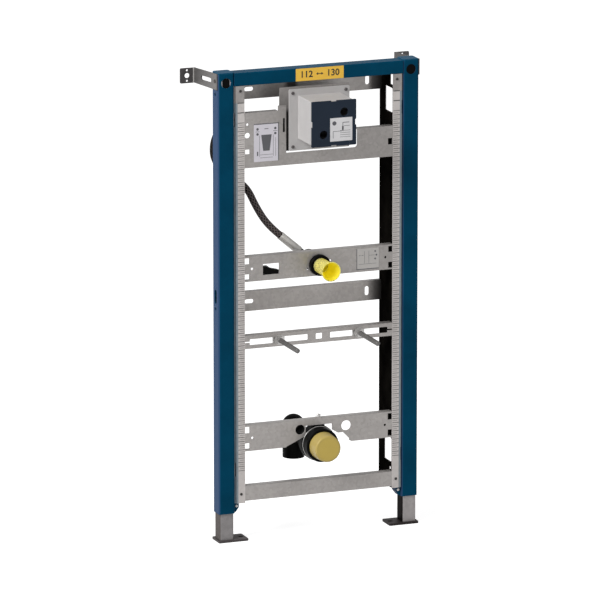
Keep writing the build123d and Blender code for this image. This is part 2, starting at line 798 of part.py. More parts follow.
# Threaded rods, each with a nut and washer in front of the rail and a nut and square plate behind it
for name, side in sides.items():
    rod_x = side * rod_spacing / 2
    with BuildPart() as rod:
        shoulder = washer_thickness + nut_height + rod_shoulder_gap
        with BuildSketch(front_axis(rod_x, rod_z, -rod_projection)):
            Circle(rod_radius)
        extrude(amount=shoulder - rod_projection)
        with BuildSketch(front_axis(rod_x, rod_z, -shoulder)):
            Circle(rod_pitch_radius)
        extrude(amount=-(shoulder + rod_tail))
        chamfer(rod.faces().sort_by(Axis.Y)[0].edges() + rod.faces().sort_by(Axis.Y)[-1].edges(), rod_chamfer)
    save(rod, f"{name}_threaded_rod")

    with BuildPart() as nuts:
        for start, direction in ((0.0, 1), (sheet, -1)):
            with BuildSketch(front_axis(rod_x, rod_z, start)):
                if direction > 0:
                    Circle(washer_radius)
                else:
                    Rectangle(rod_plate_width, rod_plate_height)
                Circle(rod_pitch_radius + thread_clearance, mode=Mode.SUBTRACT)
            extrude(amount=direction * washer_thickness)
            with BuildSketch(front_axis(rod_x, rod_z, start - direction * washer_thickness)):
                RegularPolygon(nut_across_flats / 2, 6, major_radius=False)
                Circle(rod_pitch_radius + thread_clearance, mode=Mode.SUBTRACT)
            extrude(amount=direction * nut_height)
    save(nuts, f"{name}_rod_nuts")

# Drain: socket collar, clamp, domed bend behind it and the cap in front
with BuildPart() as drain_collar:
    with BuildSketch(front_axis(0, drain_z, -drain_collar_front)):
        Circle(drain_collar_radius)
    extrude(amount=-(drain_collar_front + drain_collar_back))
    with BuildSketch(front_axis(0, drain_z, -drain_collar_front)):
        Circle(drain_collar_radius - drain_collar_wall)
    extrude(amount=-(drain_collar_front + drain_collar_back - drain_collar_wall), mode=Mode.SUBTRACT)
    with BuildSketch(front_axis(0, drain_z, drain_collar_back)):
        Circle(drain_pipe_radius - drain_pipe_wall)
    extrude(amount=drain_collar_wall, mode=Mode.SUBTRACT)
    chamfer(drain_collar.faces().sort_by(Axis.Y)[0].edges().sort_by(SortBy.RADIUS)[-1], drain_collar_edge)
save(drain_collar, "drain_collar")

with BuildPart() as drain_clamp:
    clamp_bore = drain_collar_radius + insert_clearance
    with BuildSketch(front_axis(0, drain_z, sheet)):
        Circle(clamp_bore + clamp_thickness)
        with Locations((0, drain_bar_top - sheet - bend_radius - drain_z)):
            Rectangle(clamp_lug_width, clamp_lug_height, align=(Align.CENTER, Align.MAX))
        Circle(clamp_bore, mode=Mode.SUBTRACT)
    extrude(amount=-clamp_width)
save(drain_clamp, "drain_clamp")

start = Vector(centre_x, front_y + drain_collar_back, drain_z)
knee = start + Vector(0, drain_straight, 0)
elbow = Vector(centre_x + drain_down_x, front_y + drain_down_setback, drain_z)
outlet = elbow - Vector(0, 0, drain_drop)
dome_base = drain_drop + drain_dome_rise
with BuildPart() as drain_bend:
    for inset, how in ((0.0, Mode.ADD), (drain_pipe_wall, Mode.SUBTRACT)):
        with BuildLine() as drain_path:
            FilletPolyline(start, knee, elbow, radius=drain_knee_radius)
        with BuildSketch(front_axis(0, drain_z, drain_collar_back)):
            Circle(drain_pipe_radius - inset)
        sweep(path=drain_path.wires()[0], mode=how)
        down_radius = drain_down_radius - inset
        spigot_radius = drain_spigot_radius - inset
        with BuildSketch(Plane(outlet, x_dir=(1, 0, 0), z_dir=(0, -1, 0))):
            with BuildLine():
                Polyline(
                    (0, dome_base + down_radius),
                    (0, 0),
                    (spigot_radius, 0),
                    (spigot_radius, drain_spigot_length),
                    (down_radius, drain_spigot_length),
                    (down_radius, dome_base),
                )
                CenterArc((0, dome_base), down_radius, 0, 90)
            make_face()
        revolve(axis=Axis(outlet, (0, 0, 1)), mode=how)
save(drain_bend, "drain_bend")

with BuildPart() as drain_cap:
    cap_outer = drain_collar_radius - drain_collar_wall - insert_clearance
    cap_start = drain_collar_front - drain_cap_depth
    cap_face = cap_outer - drain_cap_draft
    with BuildSketch(turned_section(drain_z)):
        with BuildLine():
            Polyline(
                (0, drain_cap_projection),
                (cap_face, drain_cap_projection),
                (cap_outer, drain_collar_front),
                (cap_outer, cap_start),
                (cap_outer - drain_cap_wall, cap_start),
                (cap_outer - drain_cap_wall, drain_collar_front),
                (cap_face - drain_cap_wall, drain_cap_projection - drain_cap_wall),
                (0, drain_cap_projection - drain_cap_wall),
                close=True,
            )
        make_face()
    revolve(axis=Axis((centre_x, front_y, drain_z), (0, -1, 0)))
    fillet(drain_cap.faces().sort_by(Axis.Y)[0].edges(), drain_cap_edge)
save(drain_cap, "drain_cap")
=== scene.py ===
import json
import math

import bmesh
import bpy
from mathutils import Matrix, Vector


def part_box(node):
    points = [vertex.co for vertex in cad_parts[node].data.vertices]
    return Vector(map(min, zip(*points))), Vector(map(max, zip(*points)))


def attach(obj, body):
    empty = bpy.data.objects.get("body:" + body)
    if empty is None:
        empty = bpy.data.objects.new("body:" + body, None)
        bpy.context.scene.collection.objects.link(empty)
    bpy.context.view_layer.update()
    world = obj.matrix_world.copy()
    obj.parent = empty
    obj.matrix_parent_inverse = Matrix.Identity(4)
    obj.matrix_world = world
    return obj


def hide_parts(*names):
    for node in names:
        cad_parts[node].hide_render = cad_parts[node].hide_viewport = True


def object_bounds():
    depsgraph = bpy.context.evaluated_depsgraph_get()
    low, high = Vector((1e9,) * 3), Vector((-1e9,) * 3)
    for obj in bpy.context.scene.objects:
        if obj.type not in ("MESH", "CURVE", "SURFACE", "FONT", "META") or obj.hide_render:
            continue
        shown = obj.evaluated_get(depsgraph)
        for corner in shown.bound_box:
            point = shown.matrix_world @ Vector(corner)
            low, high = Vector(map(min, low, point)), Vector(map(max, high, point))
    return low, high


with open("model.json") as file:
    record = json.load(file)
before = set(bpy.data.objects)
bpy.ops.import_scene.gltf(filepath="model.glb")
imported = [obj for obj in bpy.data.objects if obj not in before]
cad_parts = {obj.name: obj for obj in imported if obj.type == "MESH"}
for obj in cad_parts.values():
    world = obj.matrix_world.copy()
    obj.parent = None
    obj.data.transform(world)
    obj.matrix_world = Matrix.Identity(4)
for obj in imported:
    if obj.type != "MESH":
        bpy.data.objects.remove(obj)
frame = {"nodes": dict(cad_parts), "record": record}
cad_low, cad_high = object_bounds()

MM = 0.001

# Places taken from the frame
left_rail_low, left_rail_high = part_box("left_rail")
right_rail_low, right_rail_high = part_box("right_rail")
flange_low, flange_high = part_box("rough_in_box")
cover_low, cover_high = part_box("box_cover")
beam_low, beam_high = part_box("top_beam")
cap_low, cap_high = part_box("drain_cap")
collar_low, collar_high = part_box("drain_collar")
FRONT = beam_low.y
CENTRE = (left_rail_low.x + right_rail_high.x) / 2
INNER = {"left": left_rail_high.x, "right": right_rail_low.x}
SIDES = {"left": -1, "right": 1}
DRAIN_Z = (collar_low.z + collar_high.z) / 2
FORWARD = (0, -1, 0)

# Wall brackets: sheet, and the painted highlight beside their fold
BRACKET_GAUGE = 2.5 * MM
FOLD_HIGHLIGHT_WIDTH = 2.6 * MM

# Rails: depth of the front flange, and the printed band on it
RAIL_FRONT_DEPTH = 2.2 * MM
BAND_WIDTH = 17.0 * MM
BAND_TOP = 1047.0 * MM
BAND_SOFT = 0.3 * MM


def bracket_fold(side):
    # Where the bracket's arm meets its plate, across the frame.
    low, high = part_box(f"{side}_wall_bracket")
    return high.x - BRACKET_GAUGE if side == "left" else low.x + BRACKET_GAUGE


# Materials

def new_material(name):
    mat = bpy.data.materials.new(name)
    mat.use_nodes = True
    tree = mat.node_tree
    return mat, tree, tree.nodes["Principled BSDF"]


def object_coordinates(tree):
    return tree.nodes.new("ShaderNodeTexCoord").outputs["Object"]


def feed(tree, socket, value):
    # Links another socket to this one, or sets a plain number or colour on it.
    if isinstance(value, bpy.types.NodeSocket):
        tree.links.new(value, socket)
    elif isinstance(value, tuple):
        socket.default_value = (*value, 1.0)
    else:
        socket.default_value = value


def noise(tree, scale, detail=4.0):
    node = tree.nodes.new("ShaderNodeTexNoise")
    node.inputs["Scale"].default_value = scale
    node.inputs["Detail"].default_value = detail
    node.inputs["Roughness"].default_value = 0.55
    tree.links.new(object_coordinates(tree), node.inputs["Vector"])
    return node.outputs["Fac"]


def cells(tree, scale):
    node = tree.nodes.new("ShaderNodeTexVoronoi")
    node.inputs["Scale"].default_value = scale
    tree.links.new(object_coordinates(tree), node.inputs["Vector"])
    return node.outputs["Color"]


def remap(tree, value, low, high, from_low=0.0, from_high=1.0):
    node = tree.nodes.new("ShaderNodeMapRange")
    node.inputs["From Min"].default_value = from_low
    node.inputs["From Max"].default_value = from_high
    node.inputs["To Min"].default_value = low
    node.inputs["To Max"].default_value = high
    tree.links.new(value, node.inputs["Value"])
    return node.outputs["Result"]


def ramp(tree, value, stops):
    node = tree.nodes.new("ShaderNodeValToRGB")
    while len(node.color_ramp.elements) < len(stops):
        node.color_ramp.elements.new(0.5)
    for element, (place, colour) in zip(node.color_ramp.elements, stops):
        element.position = place
        element.color = (*colour, 1.0)
    tree.links.new(value, node.inputs["Fac"])
    return node.outputs["Color"]


def mix(tree, factor, first, second, blend="MIX"):
    node = tree.nodes.new("ShaderNodeMix")
    node.data_type = "RGBA"
    node.blend_type = blend
    feed(tree, node.inputs["Factor"], factor)
    feed(tree, node.inputs["A"], first)
    feed(tree, node.inputs["B"], second)
    return node.outputs["Result"]


def math_node(tree, operation, first, second=None):
    node = tree.nodes.new("ShaderNodeMath")
    node.operation = operation
    feed(tree, node.inputs[0], first)
    if second is not None:
        feed(tree, node.inputs[1], second)
    return node.outputs["Value"]


def separate(tree, vector):
    # The X, Y and Z of a vector.
    node = tree.nodes.new("ShaderNodeSeparateXYZ")
    tree.links.new(vector, node.inputs["Vector"])
    return node.outputs


def position(tree):
    return separate(tree, object_coordinates(tree))


def surface_normal(tree):
    return separate(tree, tree.nodes.new("ShaderNodeTexCoord").outputs["Normal"])


def facing(tree, axis, sign):
    # 1 where the surface looks along the axis, 0 elsewhere.
    return math_node(tree, "GREATER_THAN", math_node(tree, "MULTIPLY", surface_normal(tree)[axis], sign), 0.5)


def from_axis(tree, x, z):
    # Distance from an axis that runs from front to back.
    place = position(tree)
    across = math_node(tree, "POWER", math_node(tree, "SUBTRACT", place["X"], x), 2.0)
    upwards = math_node(tree, "POWER", math_node(tree, "SUBTRACT", place["Z"], z), 2.0)
    return math_node(tree, "SQRT", math_node(tree, "ADD", across, upwards))


def bump(tree, shader, height, strength, distance):
    node = tree.nodes.new("ShaderNodeBump")
    node.inputs["Strength"].default_value = strength
    node.inputs["Distance"].default_value = distance
    tree.links.new(height, node.inputs["Height"])
    tree.links.new(node.outputs["Normal"], shader.inputs["Normal"])


def shade(colour, amount):
    return tuple(min(1.0, channel * amount) for channel in colour)


def clouded(tree, scale, colour, dark, pale, low=0.3, high=0.7):
    # The colour in soft clouds, from a darker to a paler tone of itself.
    return ramp(tree, noise(tree, scale), [(low, shade(colour, dark)), (high, shade(colour, pale))])


def metal_skin(tree, shader, metallic, specular, smooth, rough):
    # Rolled metal: a fine grain, and a roughness that wanders between two values.
    feed(tree, shader.inputs["Metallic"], metallic)
    shader.inputs["Specular IOR Level"].default_value = specular
    tree.links.new(remap(tree, noise(tree, 45.0), smooth, rough), shader.inputs["Roughness"])
    bump(tree, shader, noise(tree, 520.0, detail=3.0), strength=0.06, distance=0.0002)


def moulded_skin(tree, shader, specular, smooth, rough, patches, grain):
    # Paint or plastic: a grain, and a roughness that wanders from patch to patch, both of the given scales.
    shader.inputs["Specular IOR Level"].default_value = specular
    tree.links.new(remap(tree, noise(tree, patches), smooth, rough), shader.inputs["Roughness"])
    bump(tree, shader, noise(tree, grain, detail=2.0), strength=0.10, distance=0.0002)


def powder_coat(name, colour, painted_side_colour):
    # Satin powder coat with a fine orange peel and slight unevenness of colour; the left sides are painted
    # paler, as light on them.
    mat, tree, shader = new_material(name)
    tone = clouded(tree, 14.0, colour, dark=0.86, pale=1.14)
    tree.links.new(mix(tree, facing(tree, "X", -1), tone, painted_side_colour), shader.inputs["Base Color"])
    moulded_skin(tree, shader, specular=0.03, smooth=0.36, rough=0.50, patches=60.0, grain=1400.0)
    return mat


def spangle_colour(tree, colour, spread=0.10):
    # Zinc crystals: flat patches of slightly different grey over soft clouding.
    patches = tree.nodes.new("ShaderNodeRGBToBW")
    tree.links.new(cells(tree, 170.0), patches.inputs["Color"])
    base = clouded(tree, 9.0, colour, dark=0.88, pale=1.10, low=0.25, high=0.75)
    return mix(tree, spread, base, patches.outputs["Val"], "OVERLAY")


def galvanised(name, colour, metallic=0.55, roughness=0.46, specular=0.5):
    mat, tree, shader = new_material(name)
    tree.links.new(spangle_colour(tree, colour), shader.inputs["Base Color"])
    metal_skin(tree, shader, metallic, specular, roughness - 0.07, roughness + 0.09)
    return mat


def ruled_rail(name, side, colour, strip, web_shade_colour):
    # A light printed band along the inner edge, duller zinc beside and above it, and behind it the
    # inward-facing side wall painted near black as shade.
    mat, tree, shader = new_material(name)
    place = position(tree)
    from_edge = math_node(tree, "MULTIPLY", math_node(tree, "SUBTRACT", place["X"], INNER[side]), SIDES[side])
    beside = remap(tree, from_edge, 0.0, 1.0, BAND_WIDTH - BAND_SOFT, BAND_WIDTH + BAND_SOFT)
    above = math_node(tree, "GREATER_THAN", place["Z"], BAND_TOP)
    flange = mix(tree, beside, spangle_colour(tree, colour, spread=0.05), spangle_colour(tree, strip))
    flange = mix(tree, above, flange, spangle_colour(tree, shade(colour, 0.6)))
    # Painted shade: inward-facing sides behind the front flange get a near-black streaked tone and no metal.
    behind = math_node(tree, "GREATER_THAN", place["Y"], FRONT + RAIL_FRONT_DEPTH)
    dark = math_node(tree, "MULTIPLY", facing(tree, "X", -SIDES[side]), behind)
    painted_web_shade = clouded(tree, 24.0, web_shade_colour, dark=0.6, pale=1.6, low=0.35)
    tree.links.new(mix(tree, dark, flange, painted_web_shade), shader.inputs["Base Color"])
    metallic = math_node(tree, "MULTIPLY", math_node(tree, "SUBTRACT", 1.0, dark), 0.45)
    metal_skin(tree, shader, metallic, specular=0.0, smooth=0.46, rough=0.62)
    return mat


def leg_zinc(name, colour, painted_side_colour):
    # Square tube with its left side painted darker as shade.
    mat, tree, shader = new_material(name)
    sides = mix(tree, facing(tree, "X", -1), spangle_colour(tree, colour), spangle_colour(tree, painted_side_colour))
    tree.links.new(sides, shader.inputs["Base Color"])
    metal_skin(tree, shader, metallic=0.25, specular=0.0, smooth=0.42, rough=0.56)
    return mat


def bracket_steel(name, side, plate, arm, fold):
    # Dark on all but the arm's outer side, as painted shade; the arm's outer side paler and darker towards
    # the wall; and a bright line along the fold between them, a painted highlight.
    mat, tree, shader = new_material(name)
    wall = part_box(f"{side}_wall_bracket")[1].y
    place = position(tree)
    from_fold = math_node(tree, "SUBTRACT", place["X"], bracket_fold(side))
    # Painted highlight: a bright line on the front of the plate, beside the fold.
    fold_highlight = math_node(tree, "LESS_THAN", math_node(tree, "MULTIPLY", from_fold, SIDES[side]), FOLD_HIGHLIGHT_WIDTH)
    fold_highlight = math_node(tree, "MULTIPLY", fold_highlight, facing(tree, "Y", -1))
    on_plate = math_node(tree, "GREATER_THAN", place["Y"], wall - 2 * BRACKET_GAUGE)
    fold_highlight = math_node(tree, "MULTIPLY", fold_highlight, on_plate)
    along = remap(tree, place["Y"], 0.0, 1.0, FRONT, wall)
    outside = ramp(tree, along, [(0.0, shade(arm, 1.25)), (1.0, shade(arm, 0.7))])
    colour = mix(tree, facing(tree, "X", SIDES[side]), spangle_colour(tree, plate), outside)
    tree.links.new(mix(tree, fold_highlight, colour, fold), shader.inputs["Base Color"])
    metal_skin(tree, shader, metallic=0.4, specular=0.1, smooth=0.42, rough=0.56)
    return mat


def moulded_cap(name, face, rim, x, z, radius):
    # A closed cap whose thin rim lets through more light than its face; this light is painted into the
    # colour, the face and the rim in two tones.
    mat, tree, shader = new_material(name)
    outwards = remap(tree, from_axis(tree, x, z), 0.0, 1.0, 0.0, radius)
    tree.links.new(ramp(tree, outwards, [(0.72, face), (0.95, rim)]), shader.inputs["Base Color"])
    moulded_skin(tree, shader, specular=0.35, smooth=0.34, rough=0.46, patches=80.0, grain=500.0)
    return mat


def shaded_zinc(name, colour, axis, low, high, stops):
    # Zinc with painted shadow in places along one axis.
    mat, tree, shader = new_material(name)
    along = remap(tree, position(tree)[axis], 0.0, 1.0, low, high)
    # Painted shadow: a ramp of darkness along the axis.
    painted_shadow = ramp(tree, along, [(place, (level, level, level)) for place, level in stops])
    tone = mix(tree, 1.0, spangle_colour(tree, colour), painted_shadow, "MULTIPLY")
    tree.links.new(tone, shader.inputs["Base Color"])
    metal_skin(tree, shader, metallic=0.55, specular=0.15, smooth=0.42, rough=0.56)
    return mat


def moulded_plastic(name, colour, roughness=0.42, grain=900.0, specular=0.4):
    mat, tree, shader = new_material(name)
    tree.links.new(clouded(tree, 18.0, colour, dark=0.94, pale=1.06), shader.inputs["Base Color"])
    moulded_skin(tree, shader, specular, roughness - 0.06, roughness + 0.08, patches=80.0, grain=grain)
    return mat


def clear_plastic(name, colour, bell_tint_and_light, node):
    # Thin blown plastic: light goes through, with a pebbled skin and a deeper colour inside the bell, which
    # is also painted light so that the bell reads bright.
    mat, tree, shader = new_material(name)
    low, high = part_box(node)
    x, z = (low.x + high.x) / 2, (low.z + high.z) / 2
    look, place = surface_normal(tree), position(tree)
    outwards = math_node(
        tree, "ADD",
        math_node(tree, "MULTIPLY", look["X"], math_node(tree, "SUBTRACT", place["X"], x)),
        math_node(tree, "MULTIPLY", look["Z"], math_node(tree, "SUBTRACT", place["Z"], z)),
    )
    hollow = math_node(tree, "LESS_THAN", outwards, -0.2 * MM)
    floor = math_node(tree, "LESS_THAN", from_axis(tree, x, z), 0.6 * (high.x - x))
    hollow = math_node(tree, "MAXIMUM", hollow, math_node(tree, "MULTIPLY", floor, facing(tree, "Y", -1)))
    pebbles = noise(tree, 330.0, detail=3.0)
    speckled = ramp(tree, pebbles, [(0.38, shade(colour, 0.42)), (0.50, colour), (0.70, shade(colour, 1.08))])
    # Inside the bell: a deeper yellow, also made lighter as painted light.
    tone = mix(tree, hollow, speckled, bell_tint_and_light)
    tree.links.new(tone, shader.inputs["Base Color"])
    shader.inputs["Roughness"].default_value = 0.30
    bump(tree, shader, pebbles, strength=0.25, distance=0.0006)
    through = tree.nodes.new("ShaderNodeBsdfTranslucent")
    tree.links.new(tone, through.inputs["Color"])
    both = tree.nodes.new("ShaderNodeMixShader")
    both.inputs["Fac"].default_value = 0.6
    tree.links.new(shader.outputs["BSDF"], both.inputs[1])
    tree.links.new(through.outputs["BSDF"], both.inputs[2])
    tree.links.new(both.outputs["Shader"], tree.nodes["Material Output"].inputs["Surface"])
    return mat


def braid(name, colour, length, diameter):
    # Crossing strands along the hose, from the tube's own map: u along it in metres, v around it.
    # Past the rail it is painted dark, as shade.
    mat, tree, shader = new_material(name)
    map_node = tree.nodes.new("ShaderNodeUVMap")
    map_node.uv_map = "along"
    place = separate(tree, map_node.outputs["UV"])
    strands = 7.0
    pitch = 2 * math.pi / (0.6 * diameter)
    along = math_node(tree, "MULTIPLY", place["X"], pitch)
    around = math_node(tree, "MULTIPLY", place["Y"], 2 * math.pi * strands)
    right_hand = math_node(tree, "SINE", math_node(tree, "ADD", along, around))
    left_hand = math_node(tree, "SINE", math_node(tree, "SUBTRACT", along, around))
    weave = math_node(tree, "MAXIMUM", right_hand, left_hand)
    strand = remap(tree, weave, 0.0, 1.0, -0.6, 1.0)
    plain_strands = ramp(tree, strand, [(0.25, shade(colour, 0.12)), (1.0, shade(colour, 3.2))])
    # Painted shade: darker strands past the rail.
    painted_shade_strands = ramp(tree, strand, [(0.25, shade(colour, 0.03)), (1.0, shade(colour, 0.22))])
    behind = remap(tree, place["X"], 0.0, 1.0, 0.38 * length, 0.47 * length)
    tree.links.new(mix(tree, behind, plain_strands, painted_shade_strands), shader.inputs["Base Color"])
    shader.inputs["Roughness"].default_value = 0.45
    shader.inputs["Metallic"].default_value = 0.1
    shader.inputs["Specular IOR Level"].default_value = 0.1
    bump(tree, shader, weave, strength=0.5, distance=0.0004)
    return mat


BLUE = (0.0004, 0.051, 0.104)
ZINC = (0.33, 0.311, 0.299)
FOOT_SKIN = {"metallic": 0.15, "roughness": 0.5, "specular": 0.08}
MATERIALS = {
    # Blue paint: its left sides painted paler as light.
    "blue_paint": powder_coat("blue_powder_coat", BLUE, painted_side_colour=(0.028, 0.062, 0.135)),
    "cap_plastic": moulded_plastic("blue_cap_plastic", shade(BLUE, 1.15), roughness=0.5, specular=0.1),
    "galvanised": galvanised("galvanised_sheet", ZINC),
    "dark_steel": galvanised("dull_dark_steel", (0.085, 0.076, 0.076), metallic=0.4, roughness=0.45),
    "zinc": galvanised("zinc_plate", (0.46, 0.45, 0.44), metallic=0.8, roughness=0.36),
    "bright_metal": galvanised("crimped_metal", (0.64, 0.62, 0.59), metallic=0.3, roughness=0.42),
    "black_plastic": moulded_plastic("black_plastic", (0.003, 0.003, 0.003), grain=700.0, specular=0.03),
    "box_plastic": moulded_plastic("light_grey_plastic", (0.48, 0.465, 0.46), roughness=0.48),
    "cover_plastic": moulded_plastic("slate_plastic", (0.020, 0.029, 0.045), roughness=0.50, specular=0.06),
    # Flush plug: the second colour is the deeper yellow inside the bell, painted lighter as light.
    "clear_yellow": clear_plastic(
        "clear_yellow_plastic", (0.95, 0.92, 0.44), bell_tint_and_light=(1.0, 0.90, 0.10), node="flush_plug"
    ),
    # Drain cap: face and rim in two tones as painted light.
    "olive_yellow": moulded_cap(
        "olive_yellow_plastic", face=(0.56, 0.415, 0.09), rim=(0.45, 0.34, 0.10),
        x=CENTRE, z=DRAIN_Z, radius=(cap_high.x - cap_low.x) / 2,
    ),
}
SPECIAL = {
    # Box and flush crossbars: the same zinc painted a little darker, as shaded copies.
    "box_crossbar": galvanised("box_bar_zinc", shade(ZINC, 0.88)),
    "flush_crossbar": galvanised("flush_bar_zinc", shade(ZINC, 0.9)),
    # Legs: left sides painted darker as shade, near black on the right leg, and the two fronts in different
    # tones as lit and shaded copies.
    "left_leg": leg_zinc("left_leg_zinc", (0.27, 0.257, 0.257), painted_side_colour=(0.112, 0.10, 0.096)),
    "right_leg": leg_zinc("right_leg_zinc", (0.36, 0.34, 0.337), painted_side_colour=(0.005, 0.004, 0.004)),
    # Foot plates: the right one painted darker than the left, as shade.
    "left_foot_plate": galvanised("left_foot_steel", (0.07, 0.061, 0.062), **FOOT_SKIN),
    "right_foot_plate": galvanised("right_foot_steel", (0.028, 0.022, 0.022), **FOOT_SKIN),
    # Rear beams: the same zinc painted paler, as lit copies, with painted shadow at the right end beside the
    # rail, and on the top beam a painted shadow of the box.
    "rear_beam_middle": shaded_zinc(
        "rear_beam_zinc", shade(ZINC, 1.2), "X", INNER["left"], INNER["right"],
        [(0.0, 1.0), (0.90, 1.0), (0.955, 0.35), (1.0, 0.05)],
    ),
    "rear_beam_top": shaded_zinc(
        "top_rear_beam_zinc", shade(ZINC, 1.15), "X", INNER["left"], INNER["right"],
        [
            (0.0, 0.85), (0.33, 0.95), (0.365, 0.15), (0.41, 0.12),
            (0.44, 0.8), (0.90, 1.0), (0.935, 0.25), (1.0, 0.04),
        ],
    ),
    # Box holder: painted near black over its lower part, as shade in the gap beside the box flange.
    "box_holder": shaded_zinc(
        "box_holder_zinc", ZINC, "Z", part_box("box_holder")[0].z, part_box("box_holder")[1].z,
        [(0.0, 0.02), (0.60, 0.03), (0.68, 0.55), (1.0, 0.75)],
    ),
}
for side in SIDES:
    # Rails: the last colour is painted shade for the inward-facing side wall.
    SPECIAL[f"{side}_rail"] = ruled_rail(
        f"{side}_ruled_rail", side,
        colour=(0.52, 0.49, 0.475), strip=(0.215, 0.25, 0.275), web_shade_colour=(0.004, 0.0035, 0.003),
    )
    # Brackets: dark painted shade on all but the arm's outer side, and a painted highlight on the fold.
    SPECIAL[f"{side}_wall_bracket"] = bracket_steel(
        f"{side}_bracket_steel", side,
        plate=(0.09, 0.085, 0.085), arm=(0.14, 0.134, 0.131), fold=(0.62, 0.60, 0.58),
    )
ROD_ZINC = galvanised("rod_zinc", (0.16, 0.154, 0.15), metallic=0.6, roughness=0.38)
DARK_SCREW = galvanised("dark_screw", (0.035, 0.032, 0.03), metallic=0.3, roughness=0.5)
PAPER = moulded_plastic("label_paper", (0.72, 0.71, 0.72), roughness=0.55)
LAVENDER = moulded_plastic("lavender_paper", (0.67, 0.645, 0.70), roughness=0.55)
CLEAR_LABEL = moulded_plastic("clear_label", (0.49, 0.47, 0.455), roughness=0.5)
PRINT = moulded_plastic("grey_print", (0.10, 0.10, 0.11), roughness=0.55)
TICK = moulded_plastic("ruler_print", (0.10, 0.096, 0.096), roughness=0.6, specular=0.1)
LABEL_YELLOW = moulded_plastic("label_yellow", (0.88, 0.53, 0.06), roughness=0.5)
LABEL_BLACK = moulded_plastic("label_black", (0.02, 0.016, 0.01), roughness=0.5)

# Each node takes its own finish or that of its slot; the hose's node is replaced further down.
for entry in frame["record"]["subparts"]:
    finish = SPECIAL.get(entry["node"], MATERIALS.get(entry["material_slot"]))
    if finish:
        slots = frame["nodes"][entry["node"]].data.materials
        slots.clear()
        slots.append(finish)


# Mesh helpers

def link(name, bm, material, body="frame", smooth=False):
    mesh = bpy.data.meshes.new(name)
    bm.normal_update()
    bm.to_mesh(mesh)
    bm.free()
    if smooth:
        for polygon in mesh.polygons:
            polygon.use_smooth = True
    obj = bpy.data.objects.new(name, mesh)
    bpy.context.scene.collection.objects.link(obj)
    mesh.materials.append(material)
    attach(obj, body)
    return obj


def mesh_of(curve):
    # The mesh that a curve or a text makes.
    holder = bpy.data.objects.new("holder", curve)
    bpy.context.scene.collection.objects.link(holder)
    bpy.context.view_layer.update()
    mesh = bpy.data.meshes.new_from_object(holder)
    bpy.data.objects.remove(holder)
    return mesh


def placed(origin, normal, up=(0, 0, 1)):
    # A matrix whose local z is the normal and whose local y is as near to up as it can be.
    z = Vector(normal).normalized()
    x = Vector(up).cross(z).normalized()
    y = z.cross(x)
    matrix = Matrix((x, y, z)).transposed().to_4x4()
    matrix.translation = Vector(origin)
    return matrix


def add_slab(bm, matrix, outline, thickness):
    # A flat plate with the given outline, from local z 0 up to the thickness.
    low = [bm.verts.new(matrix @ Vector((x, y, 0))) for x, y in outline]
    high = [bm.verts.new(matrix @ Vector((x, y, thickness))) for x, y in outline]
    bm.faces.new(high)
    bm.faces.new(list(reversed(low)))
    count = len(outline)
    for i in range(count):
        j = (i + 1) % count
        bm.faces.new((low[i], low[j], high[j], high[i]))


def rectangle(width, height, x=0.0, y=0.0):
    return [
        (x - width / 2, y - height / 2), (x + width / 2, y - height / 2),
        (x + width / 2, y + height / 2), (x - width / 2, y + height / 2),
    ]


def rounded(width, height, radius, x=0.0, y=0.0, steps=5):
    points = []
    for corner, (sx, sy) in enumerate(((1, 1), (-1, 1), (-1, -1), (1, -1))):
        for step in range(steps + 1):
            angle = math.pi / 2 * (corner + step / steps)
            points.append((
                x + sx * (width / 2 - radius) + radius * math.cos(angle),
                y + sy * (height / 2 - radius) + radius * math.sin(angle),
            ))
    return points


def angles_round(segments):
    return [2 * math.pi * i / segments for i in range(segments)]


def disc(radius, thickness):
    # Profile of a flat disc, for add_turned.
    return [(0, 0), (radius, 0), (radius, thickness), (0, thickness)]


def add_turned(bm, matrix, profile, segments=24):
    # A turned form from (radius, height) pairs; a pair with radius 0 closes an end.
    rings = []
    for radius, height in profile:
        if radius == 0:
            rings.append([bm.verts.new(matrix @ Vector((0, 0, height)))])
            continue
        rings.append([
            bm.verts.new(matrix @ Vector((radius * math.cos(angle), radius * math.sin(angle), height)))
            for angle in angles_round(segments)
        ])
    for lower, upper in zip(rings, rings[1:]):
        for i in range(segments):
            j = (i + 1) % segments
            if len(lower) == 1:
                bm.faces.new((lower[0], upper[j], upper[i]))
            elif len(upper) == 1:
                bm.faces.new((lower[i], lower[j], upper[0]))
            else:
                bm.faces.new((lower[i], lower[j], upper[j], upper[i]))


def add_pan_screw(bm, origin, normal, radius, height, up=(0, 0, 1)):
    # A domed head with a recess.
    matrix = placed(origin, normal, up)
    shares = [(0, 0), (1, 0), (1, 0.35), (0.86, 0.75), (0.55, 0.95), (0.30, 1), (0.22, 0.4), (0, 0.3)]
    add_turned(bm, matrix, [(across * radius, up_share * height) for across, up_share in shares])


# Hose: the route of the plain tube in millimetres, drawn as one smooth curve
HOSE_ROUTE = [
    (154.0, 35.0, 713.0),
    (123.6, 35.0, 739.0),
    (98.0, 44.0, 782.0),
    (80.0, 60.0, 830.0),
    (48.0, 92.0, 852.0),
    (17.0, 112.0, 886.0),
    (17.0, 112.0, 936.0),
    (38.0, 98.0, 974.0),
    (79.2, 77.6, 994.0),
    (106.4, 57.2, 994.0),
]
HOSE_DIAMETER = 17.0 * MM


def smooth_route(points):
    curve = bpy.data.curves.new("route", "CURVE")
    curve.dimensions = "3D"
    curve.resolution_u = 16
    spline = curve.splines.new("NURBS")
    spline.points.add(len(points) - 1)
    for point, place in zip(spline.points, points):
        point.co = (*(Vector(place) * MM), 1.0)
    spline.order_u = 3
    spline.use_endpoint_u = True
    mesh = mesh_of(curve)
    line = [vertex.co.copy() for vertex in mesh.vertices]
    bpy.data.meshes.remove(mesh)
    return line


